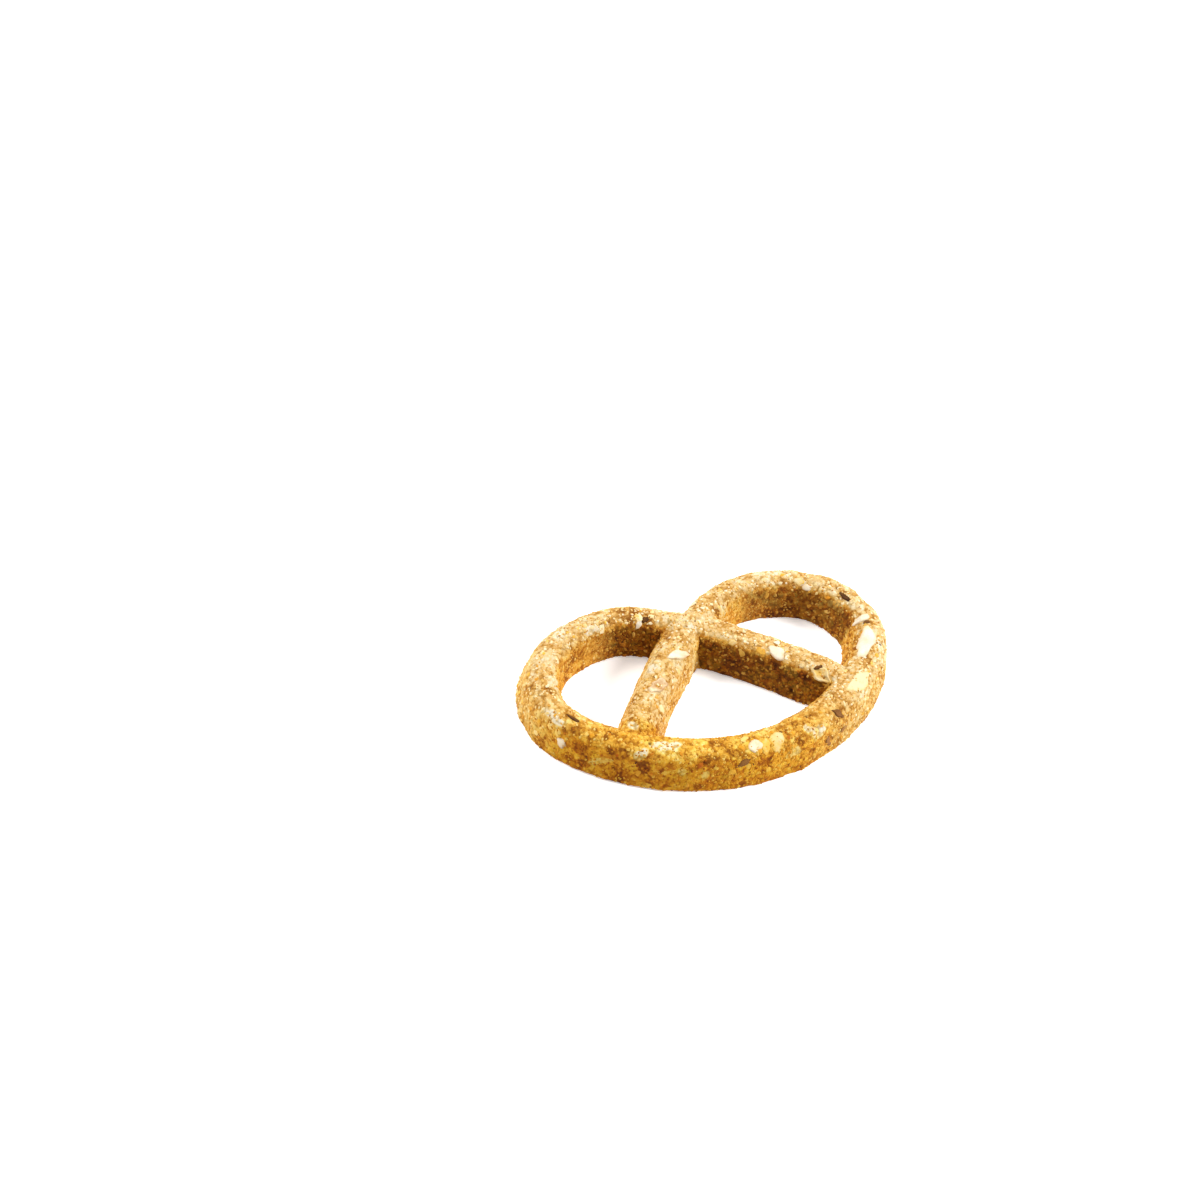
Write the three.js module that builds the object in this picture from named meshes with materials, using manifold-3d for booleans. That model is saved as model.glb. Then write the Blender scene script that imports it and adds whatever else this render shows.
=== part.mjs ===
// A small hard biscuit baked in the shape of a pretzel, cut from a coarse dough of oats, bran and maize
// grits. It is one flat-based piece with three holes: two lobes at the back, a wide bow at the front, and
// two arms that leave the crossing and run down into the bow. Millimetres, +Z up, resting on Z = 0, with X
// along the width, the bow towards -Y and the lobes towards +Y.

import * as THREE from 'three';
import { mergeVertices } from 'three/addons/utils/BufferGeometryUtils.js';
import { ImprovedNoise } from 'three/addons/math/ImprovedNoise.js';
import Module from 'manifold-3d';

// ---- Driving dimensions ----------------------------------------------------------------------------

const WIDTH = 52;                // over the outsides of the two lobes
const THICKNESS = 5.4;           // from the flat base to the top of the crust
const SHOULDER = 2.1;            // radius of the rounded top edges
const TAPER = 0.7;               // how much narrower each side is at the shoulder than at the base

const BOW_HALF_WIDTH = 3.1;      // half the width of the strand at the base, in the middle of the bow
const LOBE_HALF_WIDTH = 2.75;    // and at the top of each lobe
const ARM_HALF_WIDTH = 3.0;      // and along the arms

// Places on the middle line of one strand. The other strand is its mirror image in X = 0.
const SIDE_X = WIDTH / 2 - 2.95; // the widest place, where the strand runs straight back
const SIDE_Y = 2.2;
const BOW_Y = -12.4;             // the middle of the bow
const LOBE_X = 10.2;             // the top of the lobe
const LOBE_Y = 12.7;
const CROSSING_Y = 8.4;          // where the two strands cross on X = 0
const CROSSING_SLOPE = THREE.MathUtils.degToRad(27);
const ARM_X = 16;                // where the arm has sunk into the bow
const ARM_Y = -6.9;
const ARM_SLOPE = THREE.MathUtils.degToRad(46);
const ARM_DIP = 0.7;             // how far the arm's end lies under the crust of the bow
const DIP_START = 0.95;          // the share of the strand's length at which it starts to sink
const WIDTH_BLEND = 0.06;        // the share, before and after the crossing, over which the width changes

// How far the strand runs on in its own direction at each of those places before it bends away.
const REACH = { bow: 11.5, sideFront: 6.2, sideBack: 7.3, lobeOut: 6.6, lobeIn: 4.5, crossing: 4.3, arm: 5.8 };

// Relief of the coarse crumb: broad unevenness of the strand, and bumps as large as its grains. The shift
// picks the part of the noise that each takes.
const SWELL = { height: 0.35, size: 9, shift: 3.7 };
const BUMPS = { height: 0.5, size: 2.4, shift: 11.3 };

const STEPS = 66;                // sections along each strand
const SIDE_ROWS = 3;             // rows of points up each straight side, above one that the base cut trims
const ARC_ROWS = 5;              // rows of points round each shoulder
const ROWS = 2 * (1 + SIDE_ROWS + ARC_ROWS);

// ---- The strand ------------------------------------------------------------------------------------

const point = (x, y) => new THREE.Vector3(x, y, 0);
const heading = (angle) => new THREE.Vector3(Math.cos(angle), Math.sin(angle), 0);

// A smooth curve from one place to the next that leaves and arrives in the given directions.
function bend(from, leaving, reachOut, to, arriving, reachIn) {
  const handleOut = from.clone().addScaledVector(leaving, reachOut);
  const handleIn = to.clone().addScaledVector(arriving, -reachIn);
  return new THREE.CubicBezierCurve3(from, handleOut, handleIn, to);
}

// The right strand's middle line: bow, right side, right lobe, crossing, then down into the left arm.
function strandLine() {
  const [right, back, left] = [heading(0), heading(Math.PI / 2), heading(Math.PI)];
  const downAtCrossing = heading(Math.PI + CROSSING_SLOPE);
  const downAtArm = heading(Math.PI + ARM_SLOPE);
  const bow = point(0, BOW_Y);
  const side = point(SIDE_X, SIDE_Y);
  const lobe = point(LOBE_X, LOBE_Y);
  const crossing = point(0, CROSSING_Y);
  const arm = point(-ARM_X, ARM_Y);

  const line = new THREE.CurvePath();
  line.add(bend(bow, right, REACH.bow, side, back, REACH.sideFront));
  line.add(bend(side, back, REACH.sideBack, lobe, left, REACH.lobeOut));
  line.add(bend(lobe, left, REACH.lobeIn, crossing, downAtCrossing, REACH.crossing));
  line.add(bend(crossing, downAtCrossing, REACH.crossing, arm, downAtArm, REACH.arm));
  return line;
}

const strand = strandLine();
const lengths = strand.getCurveLengths();
const RING_SHARE = lengths[2] / lengths[3];      // the share of the strand that is ring, before the arm

// Half the strand's width at the base, a share u of the way along it.
function halfWidth(u) {
  const { mapLinear, smoothstep, lerp } = THREE.MathUtils;
  const y = strand.getPoint(Math.min(u, RING_SHARE)).y;
  const ring = mapLinear(y, BOW_Y, LOBE_Y, BOW_HALF_WIDTH, LOBE_HALF_WIDTH);
  return lerp(ring, ARM_HALF_WIDTH, smoothstep(u, RING_SHARE - WIDTH_BLEND, RING_SHARE + WIDTH_BLEND));
}

// The height of the crust, which is level until the arm's end dips under the bow.
const crustHeight = (u) => THICKNESS - ARM_DIP * THREE.MathUtils.smoothstep(u, DIP_START, 1);

// One section as points [across, up], from the outer foot over the crust to the inner foot: straight sides
// that lean in, with their feet below the base cut, and rounded shoulders.
function section(half, height) {
  const shoulderAt = half - TAPER;
  const straight = height - SHOULDER;
  const side = [];
  for (let row = -1; row < SIDE_ROWS; row++) {
    const share = row / SIDE_ROWS;
    side.push([half - TAPER * share, straight * share]);
  }
  for (let row = 0; row < ARC_ROWS; row++) {
    const angle = (Math.PI / 2) * (row / (ARC_ROWS - 1));
    side.push([shoulderAt - SHOULDER * (1 - Math.cos(angle)), straight + SHOULDER * Math.sin(angle)]);
  }
  const mirrored = side.map(([across, up]) => [-across, up]).reverse();
  return [...side, ...mirrored];
}

// ---- Relief ----------------------------------------------------------------------------------------

const perlin = new ImprovedNoise();

// One layer of relief at a place, up to its height above or below the smooth strand.
function layer(p, { height, size, shift }) {
  return height * perlin.noise(p.x / size + shift, p.y / size + shift, p.z / size + shift);
}

// How far the crumb stands proud of the smooth strand at a place.
const relief = (p) => layer(p, SWELL) + layer(p, BUMPS);

// A place on the smooth strand, with the outward direction and the strand's own direction there: u is the
// share of the way along it, and v the share of the way round its section, 0.5 being the top of the crust.
function surface(u, v, mirror) {
  const centre = strand.getPoint(u);
  const along = strand.getTangent(u).setZ(0).normalize();
  const outline = section(halfWidth(u), crustHeight(u));
  const row = Math.min(Math.floor(v * (ROWS - 1)), ROWS - 2);
  const share = v * (ROWS - 1) - row;
  const [from, to] = [outline[row], outline[row + 1]];
  const slope = share === 0 && row > 0 ? outline[row - 1] : from;
  const rightwards = new THREE.Vector3(along.y, -along.x, 0);
  const position = centre.addScaledVector(rightwards, THREE.MathUtils.lerp(from[0], to[0], share));
  position.setZ(THREE.MathUtils.lerp(from[1], to[1], share));
  const outward = rightwards.clone().multiplyScalar(to[1] - slope[1]).setZ(slope[0] - to[0]).normalize();
  for (const vector of [position, outward, along]) vector.x *= mirror;
  return { position, outward, along };
}

// One closed strand with its relief: quads between sections, and a fan over each end.
function strandGeometry(mirror) {
  const positions = [];
  for (let step = 0; step <= STEPS; step++) {
    for (let row = 0; row < ROWS; row++) {
      const { position, outward } = surface(step / STEPS, row / (ROWS - 1), mirror);
      positions.push(...position.addScaledVector(outward, relief(position)));
    }
  }
  const at = (step, row) => step * ROWS + (row % ROWS);
  const triangles = [];
  for (let step = 0; step < STEPS; step++) {
    for (let row = 0; row < ROWS; row++) {
      const [a, b, c, d] = [at(step, row), at(step + 1, row), at(step + 1, row + 1), at(step, row + 1)];
      triangles.push([a, b, c], [a, c, d]);
    }
  }
  for (let row = 1; row < ROWS - 1; row++) {
    triangles.push([at(0, 0), at(0, row), at(0, row + 1)]);
    triangles.push([at(STEPS, 0), at(STEPS, row + 1), at(STEPS, row)]);
  }
  const turned = mirror < 0 ? triangles.map(([a, b, c]) => [a, c, b]) : triangles;
  const geometry = new THREE.BufferGeometry();
  geometry.setAttribute('position', new THREE.Float32BufferAttribute(positions, 3));
  geometry.setIndex(turned.flat());
  return geometry;
}

// ---- Flakes and grits baked into the crust ---------------------------------------------------------

// The large flakes, each with the strand it lies on (1 right, -1 left), its place (u, v) there, its length
// and width, and its turn from the strand's direction in degrees.
const FLAKES = [
  { name: 'long oat on the right side', mirror: 1, u: 0.3, v: 0.56, length: 5.2, width: 2.4, turn: 166 },
  { name: 'thin oat behind it', mirror: 1, u: 0.35, v: 0.61, length: 3.4, width: 1.3, turn: 105 },
  { name: 'round flake near the right arm', mirror: 1, u: 0.2, v: 0.43, length: 3.8, width: 2.8, turn: 0 },
  { name: 'maize flake on the bow', mirror: 1, u: 0.015, v: 0.44, length: 3.6, width: 2.4, turn: 74 },
  { name: 'pale flake on the bow', mirror: 1, u: 0.08, v: 0.37, length: 2.6, width: 2, turn: 0 },
  { name: 'oat across the left arm', mirror: 1, u: 0.805, v: 0.59, length: 3.5, width: 1.4, turn: 137 },
  { name: 'curled flake on the left arm', mirror: 1, u: 0.88, v: 0.53, length: 3.6, width: 2.5, turn: 129 },
  { name: 'flake on the right arm', mirror: -1, u: 0.87, v: 0.6, length: 2.6, width: 2.2, turn: 165 },
  { name: 'flake on the left lobe', mirror: -1, u: 0.55, v: 0.62, length: 2.8, width: 1.8, turn: 176 },
  { name: 'flake on the left side', mirror: -1, u: 0.4, v: 0.6, length: 3, width: 2.2, turn: 20 },
];
const FLAKE_HEIGHT = 0.4;        // half a flake's thickness, most of it sunk in the crumb
const GRITS = 48;                // smaller grains, spread evenly along both strands
const GRIT_LENGTH = [2.4, 1.3];  // from the first grit to the last
const GRIT_WIDTH = [0.55, 0.9];  // as a share of its length
const GRIT_HEIGHT = 0.36;
const GRITTY = [0.14, 0.86];     // the part of the section that carries grits, clear of the base
const GRIT_SPAN = 0.93;          // the share of each strand that carries them, clear of the sunk end
const GRIT_STRIDE = 7;           // grits next in size lie this many places apart
const SEED = 7;

// A flat faceted grain, part sunk in the surface.
function grainGeometry({ mirror, u, v, length, width, turn }, height) {
  const { position, outward, along } = surface(u, v, mirror);
  const spin = new THREE.Quaternion().setFromAxisAngle(outward, THREE.MathUtils.degToRad(turn));
  const lengthwise = along.clone().applyQuaternion(spin);
  const crosswise = new THREE.Vector3().crossVectors(outward, lengthwise);
  const place = new THREE.Matrix4().makeBasis(lengthwise, crosswise, outward).setPosition(position);
  const grain = new THREE.IcosahedronGeometry(1, 0);
  return grain.scale(length / 2, width / 2, height).applyMatrix4(place);
}

// A repeatable random number from 0 to 1 for each grit and each use of it.
const draw = (n, use) => {
  const wave = Math.sin((n + 1) * 12.9898 + (use + SEED) * 78.233) * 43758.5453;
  return wave - Math.floor(wave);
};

function grits() {
  const { lerp } = THREE.MathUtils;
  const pairs = GRITS / 2;
  return Array.from({ length: GRITS }, (_, n) => {
    const length = lerp(...GRIT_LENGTH, n / GRITS);
    const pair = (Math.floor(n / 2) * GRIT_STRIDE) % pairs;
    return {
      mirror: n % 2 ? 1 : -1,
      u: (GRIT_SPAN * (pair + draw(n, 0))) / pairs,
      v: lerp(...GRITTY, draw(n, 1)),
      length,
      width: length * lerp(...GRIT_WIDTH, draw(n, 2)),
      turn: 180 * draw(n, 3),
    };
  });
}

// ---- The biscuit -----------------------------------------------------------------------------------

const wasm = await Module();
wasm.setup();

const SAME_PLACE = 1e-5;         // vertices nearer than this are one

function toSolid(geometry) {
  const bare = geometry.clone();
  bare.deleteAttribute('normal');
  bare.deleteAttribute('uv');
  const merged = mergeVertices(bare, SAME_PLACE);
  const vertProperties = new Float32Array(merged.attributes.position.array);
  const triVerts = new Uint32Array(merged.index.array);
  return new wasm.Manifold(new wasm.Mesh({ numProp: 3, vertProperties, triVerts }));
}

function toGeometry(solid) {
  const { vertProperties, triVerts } = solid.getMesh();
  const geometry = new THREE.BufferGeometry();
  geometry.setAttribute('position', new THREE.BufferAttribute(vertProperties, 3));
  geometry.setIndex(new THREE.BufferAttribute(triVerts, 1));
  return geometry;
}

// Both strands with their flakes and grits, cut flat at the base, with the origin at the base's middle.
function biscuitGeometry() {
  let solid = toSolid(strandGeometry(1)).add(toSolid(strandGeometry(-1)));
  for (const flake of FLAKES) solid = solid.add(toSolid(grainGeometry(flake, FLAKE_HEIGHT)));
  for (const grit of grits()) solid = solid.add(toSolid(grainGeometry(grit, GRIT_HEIGHT)));
  const table = new THREE.BoxGeometry(2 * WIDTH, 2 * WIDTH, THICKNESS).translate(0, 0, -THICKNESS / 2);
  const geometry = toGeometry(solid.subtract(toSolid(table)));
  geometry.computeBoundingBox();
  const middle = geometry.boundingBox.getCenter(new THREE.Vector3());
  return geometry.translate(-middle.x, -middle.y, 0);
}

const crust = new THREE.MeshStandardMaterial({ color: 0xc8974a, roughness: 0.9, metalness: 0 });
const biscuit = new THREE.Mesh(biscuitGeometry(), crust);
biscuit.name = 'biscuit';

const part = new THREE.Group();
part.add(biscuit);

export default part;
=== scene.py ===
# %% [markdown]
# # A pretzel-shaped grain biscuit
#
# This lesson dresses one small hard biscuit, baked from a coarse dough of oats, bran and maize. It is a
# single piece of food: no filling, no topping, nothing that moves. What makes it look real is its crumb,
# so most of the lesson is about a rough surface: first its large forms, then the lumps of its dough, then
# thousands of small grains, and last the colours. The plain solid that the lesson starts from is loaded,
# its size is printed, and at the end it is hidden; the biscuit is made from its own numbers in millimetres.

# %% Load the plain solid as a fixed frame
import itertools
import math

import bpy
import numpy as np
from mathutils import Matrix, Vector


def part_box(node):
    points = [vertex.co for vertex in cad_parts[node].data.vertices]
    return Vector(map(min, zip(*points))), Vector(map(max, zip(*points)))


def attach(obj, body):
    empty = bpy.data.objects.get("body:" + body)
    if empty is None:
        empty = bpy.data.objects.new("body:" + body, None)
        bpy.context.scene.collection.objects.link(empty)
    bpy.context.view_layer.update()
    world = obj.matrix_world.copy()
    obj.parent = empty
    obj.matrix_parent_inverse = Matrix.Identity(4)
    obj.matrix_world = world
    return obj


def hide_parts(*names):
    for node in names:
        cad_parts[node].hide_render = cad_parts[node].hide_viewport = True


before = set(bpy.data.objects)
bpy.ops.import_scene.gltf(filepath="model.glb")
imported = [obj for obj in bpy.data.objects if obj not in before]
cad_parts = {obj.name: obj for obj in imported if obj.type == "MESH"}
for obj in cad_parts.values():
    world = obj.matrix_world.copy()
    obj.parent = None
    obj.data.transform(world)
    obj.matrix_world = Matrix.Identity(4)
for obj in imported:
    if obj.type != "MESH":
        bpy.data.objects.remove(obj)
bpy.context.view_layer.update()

MM = 0.001  # one millimetre in metres; shapes are made in millimetres
node_box = np.array(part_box("biscuit")) / MM
print("the solid measures", np.ptp(node_box, axis=0).round(2), "mm")

# %% [markdown]
# ## Camera, table and light
#
# The biscuit lies on a white table and is seen from the front left, from rather high up, with the picture
# turned a little. The camera is placed by angles round the biscuit. A shift of the lens moves the biscuit
# to its place in the picture without turning the view. The light is that of a bright product table: a
# white sky all round and three square lamps. One stands at the back left and one on the right, a little in
# front, so that each grain has a bright side and a darker one. A wide, weak one hangs overhead. The table
# is made last, because it needs the helpers for finishes.

# %% The camera
PICTURE = 1200  # the picture's side in pixels
VIEW_TURN = math.radians(38.0)  # how far the camera stands to the left of straight in front
VIEW_HEIGHT = math.radians(47.3)  # and above the table
VIEW_ROLL = math.radians(-14.5)  # the picture's turn, anticlockwise
VIEW_DISTANCE = 0.35  # in metres, from the middle of the base
FOCAL_PIXELS = 2710  # the lens's focal length, in pixels of the picture
MIDDLE_PIXEL = (714, 694.5)  # where the middle of the biscuit's base is seen
SENSOR = 36  # the sensor's width, in millimetres
CLIP_START = 0.01  # nothing nearer than this is seen, in metres


def place_camera():
    """Turns a camera to look at the origin: its back points to where it stands, and its right and up
    directions are turned about that line by the roll."""
    turn, height, roll = VIEW_TURN, VIEW_HEIGHT, VIEW_ROLL
    level = math.cos(height)
    back = Vector((-math.sin(turn) * level, -math.cos(turn) * level, math.sin(height)))
    right = Vector((math.cos(turn), -math.sin(turn), 0))
    up = back.cross(right)
    rolled_right = right * math.cos(roll) - up * math.sin(roll)
    rolled_up = right * math.sin(roll) + up * math.cos(roll)
    data = bpy.data.cameras.new("camera")
    data.sensor_width = SENSOR
    data.lens = SENSOR * FOCAL_PIXELS / PICTURE
    data.shift_x = (PICTURE / 2 - MIDDLE_PIXEL[0]) / PICTURE
    data.shift_y = (MIDDLE_PIXEL[1] - PICTURE / 2) / PICTURE
    data.clip_start = CLIP_START
    camera = bpy.data.objects.new("camera", data)
    camera.matrix_world = Matrix((rolled_right, rolled_up, back)).transposed().to_4x4()
    camera.location = back * VIEW_DISTANCE
    bpy.context.scene.collection.objects.link(camera)
    bpy.context.scene.camera = camera
    return camera


camera = place_camera()
print("lens", round(camera.data.lens, 1), "mm")

# %% Sky and lamps
SKY_STRENGTH = 0.27


def area_lamp(name, place, size, power):
    """A square lamp that faces the biscuit."""
    data = bpy.data.lights.new(name, "AREA")
    data.size = size
    data.energy = power
    lamp = bpy.data.objects.new(name, data)
    lamp.location = place
    lamp.rotation_euler = Vector(place).to_track_quat("Z", "Y").to_euler()
    bpy.context.scene.collection.objects.link(lamp)


def white_sky(strength):
    """The same white from every side. It lights the biscuit by its strength, and the camera sees it as
    full white: the strength, plus the rest up to 1 for rays that come straight from the camera."""
    world = bpy.data.worlds.new("sky")
    world.use_nodes = True
    nodes, links = world.node_tree.nodes, world.node_tree.links
    background = nodes["Background"]
    background.inputs["Color"].default_value = (1, 1, 1, 1)
    seen = nodes.new("ShaderNodeMath")
    seen.operation = "MULTIPLY_ADD"
    seen.inputs[1].default_value = 1 - strength
    seen.inputs[2].default_value = strength
    links.new(nodes.new("ShaderNodeLightPath").outputs["Is Camera Ray"], seen.inputs[0])
    links.new(seen.outputs[0], background.inputs["Strength"])
    bpy.context.scene.world = world


white_sky(SKY_STRENGTH)
# name, place and side in metres, and power in watts
area_lamp("lamp_left", (-0.44, 0.44, 0.46), 0.30, 5.9)
area_lamp("lamp_right", (0.60, -0.22, 0.46), 0.25, 8.1)
area_lamp("lamp_overhead", (0.05, 0.30, 0.72), 0.60, 2.0)
bpy.context.scene.view_settings.view_transform = "Standard"

# %% [markdown]
# ## The middle line of a strand
#
# A pretzel is one rope of dough, laid in a bow and crossed. Both halves are the same curve, one mirrored:
# it starts in the middle of the bow, runs round the side and over the lobe, passes the crossing, and ends
# as an arm that sinks into the opposite side of the bow. Four cubic Bezier curves in a row describe it
# with few numbers, each of which is a place or a direction that can be seen on the biscuit.

# %% Driving dimensions, in millimetres
WIDTH = 52
THICKNESS = 5.4
SHOULDER = 2.1  # radius of the rounded top edges
TAPER = 0.7  # how far each side leans in from the base to the shoulder
BOW_HALF_WIDTH, LOBE_HALF_WIDTH, ARM_HALF_WIDTH = 3.1, 2.75, 3.0
SIDE_INSET = 2.95  # from the outline to the middle line at the widest place
SIDE = np.array((WIDTH / 2 - SIDE_INSET, 2.2))
BOW = np.array((0, -12.4))
LOBE = np.array((10.2, 12.7))
CROSSING = np.array((0, 8.4))
ARM = np.array((-16, -6.9))  # where the arm has sunk into the bow
CROSSING_SLOPE, ARM_SLOPE = math.radians(27), math.radians(46)
ARM_DIP = 0.7  # how far the arm's end lies under the crust of the bow
ARM_DIPS_FROM = 0.95  # the share of the strand at which it starts to sink
ARM_WIDENS = 0.06  # its width sets in this far before and after the crossing
CURVE_POINTS = 160

# how far the two inner points of each curve lie from its start and from its end
BOW_REACH, SIDE_REACH, LOBE_REACH, ARM_REACH = (11.5, 6.2), (7.3, 6.6), (4.5, 4.3), (4.3, 5.8)


def heading(angle):
    """The direction at an angle from +X."""
    return np.array((math.cos(angle), math.sin(angle)))


def bend(start, leaving, end, arriving, reach):
    """A cubic Bezier curve: a share t along it, its four points count (1-t)^3, 3t(1-t)^2, 3t^2(1-t) and
    t^3. The two inner points lie on the directions in which it leaves and arrives."""
    t = np.linspace(0, 1, CURVE_POINTS)[:, None]
    handle_out = start + reach[0] * leaving
    handle_in = end - reach[1] * arriving
    by_the_start = (1 - t) ** 3 * start + 3 * t * (1 - t) ** 2 * handle_out
    return by_the_start + 3 * t**2 * (1 - t) * handle_in + t**3 * end


def strand_line():
    """Bow, side, lobe, crossing and arm, joined end to end. Each repeated joint is left out once."""
    right, back, left = heading(0), heading(math.pi / 2), heading(math.pi)
    at_crossing, at_arm = heading(math.pi + CROSSING_SLOPE), heading(math.pi + ARM_SLOPE)
    curves = [
        bend(BOW, right, SIDE, back, BOW_REACH),
        bend(SIDE, back, LOBE, left, SIDE_REACH),
        bend(LOBE, left, CROSSING, at_crossing, LOBE_REACH),
        bend(CROSSING, at_crossing, ARM, at_arm, ARM_REACH),
    ]
    ring_points = sum(len(curve) - 1 for curve in curves[:3])
    return np.vstack([curves[0]] + [curve[1:] for curve in curves[1:]]), ring_points


LINE, RING_POINTS = strand_line()
STEPS = np.linalg.norm(np.diff(LINE, axis=0), axis=1)
DISTANCE = np.concatenate(([0], np.cumsum(STEPS)))
LENGTH = DISTANCE[-1]
RING_SHARE = DISTANCE[RING_POINTS] / LENGTH
SLOPE = np.gradient(LINE, DISTANCE, axis=0)
DIRECTION = SLOPE / np.linalg.norm(SLOPE, axis=1)[:, None]
print("one strand is", round(LENGTH, 1), "mm long;", round(RING_SHARE, 3), "of it is ring")

# %% [markdown]
# ## The strand's surface
#
# The strand's section is flat below, with sides that lean in a little and rounded shoulders. Carrying that
# profile along the middle line gives a surface of two parameters: u, the share of the way along, and v,
# the share of the way round from the outer foot over the crust to the inner foot. The same function gives
# the place of a flake later on, so that a flake follows the strand's curve.

# %% A place on the strand from its two parameters
LEAN_END = 4 / 17  # v where the leaning side ends and the shoulder begins
ROUND_END = 8 / 17  # v where the shoulder ends and the top begins


def smoothstep(x, low, high):
    """0 below low, 1 above high, and 3t^2 - 2t^3 between them."""
    t = np.clip((x - low) / (high - low), 0, 1)
    return t * t * (3 - 2 * t)


def along_line(table, u):
    """A table with one row for each point of the middle line, interpolated at u."""
    reach = np.clip(u, 0, 1) * LENGTH
    return np.stack([np.interp(reach, DISTANCE, table[:, k]) for k in (0, 1)], axis=-1)


def middle(u):
    """Place and unit direction of the middle line."""
    return along_line(LINE, u), along_line(DIRECTION, u)


def half_width(u):
    """From the bow's to the lobe's in step with Y, then the arm's beyond the crossing."""
    y = middle(np.minimum(u, RING_SHARE))[0][..., 1]
    ring = BOW_HALF_WIDTH + (y - BOW[1]) / (LOBE[1] - BOW[1]) * (LOBE_HALF_WIDTH - BOW_HALF_WIDTH)
    past_crossing = smoothstep(u, RING_SHARE - ARM_WIDENS, RING_SHARE + ARM_WIDENS)
    return ring + (ARM_HALF_WIDTH - ring) * past_crossing


def section(v, half, height):
    """Across and up: a straight side that leans in by the taper, a quarter circle for the shoulder, and a
    level top, the same on both sides of v = 0.5."""
    near = np.minimum(v, 1 - v)
    lean = np.clip(near / LEAN_END, 0, 1)
    angle = np.clip((near - LEAN_END) / (ROUND_END - LEAN_END), 0, 1) * math.pi / 2
    level = np.clip((0.5 - near) / (0.5 - ROUND_END), 0, 1)
    across = (half - TAPER * lean - SHOULDER * (1 - np.cos(angle))) * level
    up = (height - SHOULDER) * lean + SHOULDER * np.sin(angle)
    return across * np.sign(0.5 - v), up


def strand_place(u, v, mirror):
    """The section's across is laid to the right of the middle line's direction, and its up along Z."""
    place, direction = middle(u)
    height = THICKNESS - ARM_DIP * smoothstep(u, ARM_DIPS_FROM, 1)
    across, up = section(v, half_width(u), height)
    x = (place[..., 0] + direction[..., 1] * across) * mirror
    y = place[..., 1] - direction[..., 0] * across
    return np.stack(np.broadcast_arrays(x, y, up), axis=-1)


def unit(vectors):
    """Vectors scaled to length 1."""
    return vectors / np.linalg.norm(vectors, axis=-1, keepdims=True)


def strand_frame(u, v, mirror, step=1e-3):
    """The unit directions along and across, which are the surface's slopes along u and v, and outward,
    which is their cross product."""
    along = strand_place(u + step, v, mirror) - strand_place(u - step, v, mirror)
    across = (strand_place(u, v + step, mirror) - strand_place(u, v - step, mirror)) * mirror
    return unit(along), unit(across), unit(np.cross(along, across))


print("top of the bow at", strand_place(0.0, 0.5, 1).round(2))
print("outward on its shoulder", strand_frame(0.1, 0.45, 1)[2].round(2))

# %% [markdown]
# ## One skin over both strands
#
# The two strands run through each other at the crossing and in the bow. Blender's voxel remesh takes all
# the closed shapes together and wraps one even skin round them, which also gives the fine, even grid of
# points that the crumb needs. Some rounds of smoothing then round the corners between arm and bow, as
# dough does.

# %% Sweep, join and smooth
SWEEP_STEPS, SWEEP_ROWS = 300, 48
SKIN_GRID = 0.20  # the skin's grid, in millimetres
SOFTEN_SHARE, SOFTEN_ROUNDS = 0.5, 14  # the smoothing's strength in each round, and its rounds


def add_object(name, points, faces):
    """A mesh object from places in millimetres and faces, at the origin."""
    mesh = bpy.data.meshes.new(name)
    mesh.from_pydata(np.asarray(points) * MM, [], faces)
    mesh.update()
    piece = bpy.data.objects.new(name, mesh)
    bpy.context.scene.collection.objects.link(piece)
    return piece


def grid_faces(rows, columns):
    """Quads between neighbours on a grid whose last column meets its first."""
    row, column = np.meshgrid(np.arange(rows - 1), np.arange(columns), indexing="ij")
    above, beside = row + 1, (column + 1) % columns
    corners = [(row, column), (above, column), (above, beside), (row, beside)]
    return np.stack([r * columns + c for r, c in corners], axis=-1).reshape(-1, 4)


def closed_strand(mirror):
    """The surface on a grid of u and v, closed below by the quads from v = 1 to v = 0, and at its ends."""
    u, v = np.meshgrid(np.linspace(0, 1, SWEEP_STEPS), np.linspace(0, 1, SWEEP_ROWS), indexing="ij")
    points = strand_place(u, v, mirror).reshape(-1, 3)
    last = (SWEEP_STEPS - 1) * SWEEP_ROWS
    faces = grid_faces(SWEEP_STEPS, SWEEP_ROWS)
    ends = [list(range(SWEEP_ROWS)), list(range(last + SWEEP_ROWS - 1, last - 1, -1))]
    return points, faces, ends


def join_strands():
    """Both strands as one skin: remeshed, smoothed, and taken as a plain mesh."""
    points, faces = [], []
    for mirror in (1, -1):
        own_points, own_faces, ends = closed_strand(mirror)
        start = sum(len(p) for p in points)
        own = (own_faces + start).tolist() + [[k + start for k in end] for end in ends]
        faces += own if mirror > 0 else [face[::-1] for face in own]
        points.append(own_points)
    rope = add_object("rope", np.vstack(points), faces)
    join = rope.modifiers.new("join", "REMESH")
    join.mode = "VOXEL"
    join.voxel_size = SKIN_GRID * MM
    soften = rope.modifiers.new("soften", "SMOOTH")
    soften.factor = SOFTEN_SHARE
    soften.iterations = SOFTEN_ROUNDS
    finished = rope.evaluated_get(bpy.context.evaluated_depsgraph_get())
    skin = bpy.data.meshes.new_from_object(finished)
    bpy.data.objects.remove(rope)
    return skin


skin = join_strands()
print("the skin has", len(skin.vertices), "points and", len(skin.polygons), "faces")
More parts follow.
